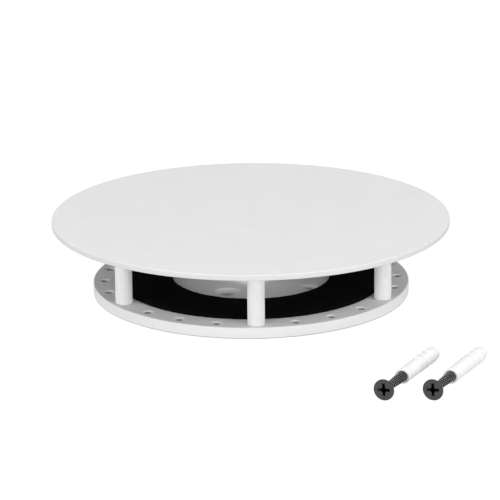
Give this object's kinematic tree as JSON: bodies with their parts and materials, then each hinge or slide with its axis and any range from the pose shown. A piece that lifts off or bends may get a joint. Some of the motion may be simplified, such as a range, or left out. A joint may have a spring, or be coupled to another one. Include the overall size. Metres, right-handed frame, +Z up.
{
  "type": "turntable",
  "caption": "Round turntable: a thin platter turns on a ball-bearing column over a screw-down base plate, steadied near its rim by posts with glides.",
  "frame": {"origin": "centre of the base plate's underside, on the axis that the platter turns about", "axes": "+Z up along the turning axis; the front support post stands on -Y; +X is to the right seen from the front"},
  "size_m": [0.1864, 0.246, 0.0345],
  "materials": {
    "white_paint": "satin white powder coat on steel",
    "white_texture_paint": "white powder coat over a fine knurl",
    "black_felt": "dense black felt",
    "glide_nylon": "natural nylon, slightly translucent",
    "steel": "turned and ground steel",
    "zinc_steel": "bright zinc plate",
    "ball_steel": "polished bearing steel",
    "bronze": "sintered bronze",
    "cage_brass": "stamped brass",
    "aluminium": "turned aluminium",
    "black_screw": "black phosphate, dull",
    "plug_nylon": "white moulded nylon"
  },
  "bodies": {
    "base": {"base_plate": "white_paint", "felt_pad": "black_felt", "support_post_1": "white_texture_paint", "support_post_2": "white_texture_paint", "support_post_3": "white_texture_paint", "support_post_4": "white_texture_paint", "support_post_5": "white_texture_paint", "support_post_6": "white_texture_paint", "post_glide_1": "glide_nylon", "post_glide_2": "glide_nylon", "post_glide_3": "glide_nylon", "post_glide_4": "glide_nylon", "post_glide_5": "glide_nylon", "post_glide_6": "glide_nylon", "bearing_column": "white_paint", "column_screw_1": "steel", "column_screw_2": "steel", "column_screw_3": "steel", "lower_bush": "bronze", "upper_bush": "bronze", "spindle_grub_screw": "steel", "lower_race": "steel"},
    "ball_set": {"ball_cage": "cage_brass", "bearing_ball_1": "ball_steel", "bearing_ball_2": "ball_steel", "bearing_ball_3": "ball_steel", "bearing_ball_4": "ball_steel", "bearing_ball_5": "ball_steel", "bearing_ball_6": "ball_steel", "bearing_ball_7": "ball_steel", "bearing_ball_8": "ball_steel", "bearing_ball_9": "ball_steel", "bearing_ball_10": "ball_steel"},
    "turning_top": {"upper_race": "steel", "spindle": "steel", "platter_hub": "aluminium", "hub_stud_1": "zinc_steel", "hub_stud_2": "zinc_steel", "hub_stud_3": "zinc_steel", "hub_stud_4": "zinc_steel", "hub_nut_1": "zinc_steel", "hub_nut_2": "zinc_steel", "hub_nut_3": "zinc_steel", "hub_nut_4": "zinc_steel", "platter": "white_paint"},
    "plug_1": {"wall_plug_1": "plug_nylon"},
    "screw_1": {"wall_screw_1": "black_screw"},
    "plug_2": {"wall_plug_2": "plug_nylon"},
    "screw_2": {"wall_screw_2": "black_screw"}
  },
  "joints": [
    {"name": "platter_turn", "type": "hinge", "parent": "base", "child": "turning_top", "pos_m": [0, 0, 0.0295], "axis": [0, 0, 1], "continuous": true},
    {"name": "ball_set_turn", "type": "hinge", "parent": "base", "child": "ball_set", "pos_m": [0, 0, 0.0252], "axis": [0, 0, 1], "continuous": true},
    {"name": "plug_1_lift", "type": "slide", "parent": "base", "child": "plug_1", "axis": [0, 0, 1], "range_m": [0, 0.06]},
    {"name": "screw_1_drive", "type": "slide", "parent": "plug_1", "child": "screw_1", "axis": [0.4539, 0.8907, -0.024], "range_m": [-0.021, 0.017]},
    {"name": "plug_2_lift", "type": "slide", "parent": "base", "child": "plug_2", "axis": [0, 0, 1], "range_m": [0, 0.06]},
    {"name": "screw_2_drive", "type": "slide", "parent": "plug_2", "child": "screw_2", "axis": [0.4539, 0.8907, -0.024], "range_m": [-0.021, 0.017]}
  ],
  "couplings": [
    {"joint": "ball_set_turn", "follows": "platter_turn", "ratio": 0.5}
  ]
}
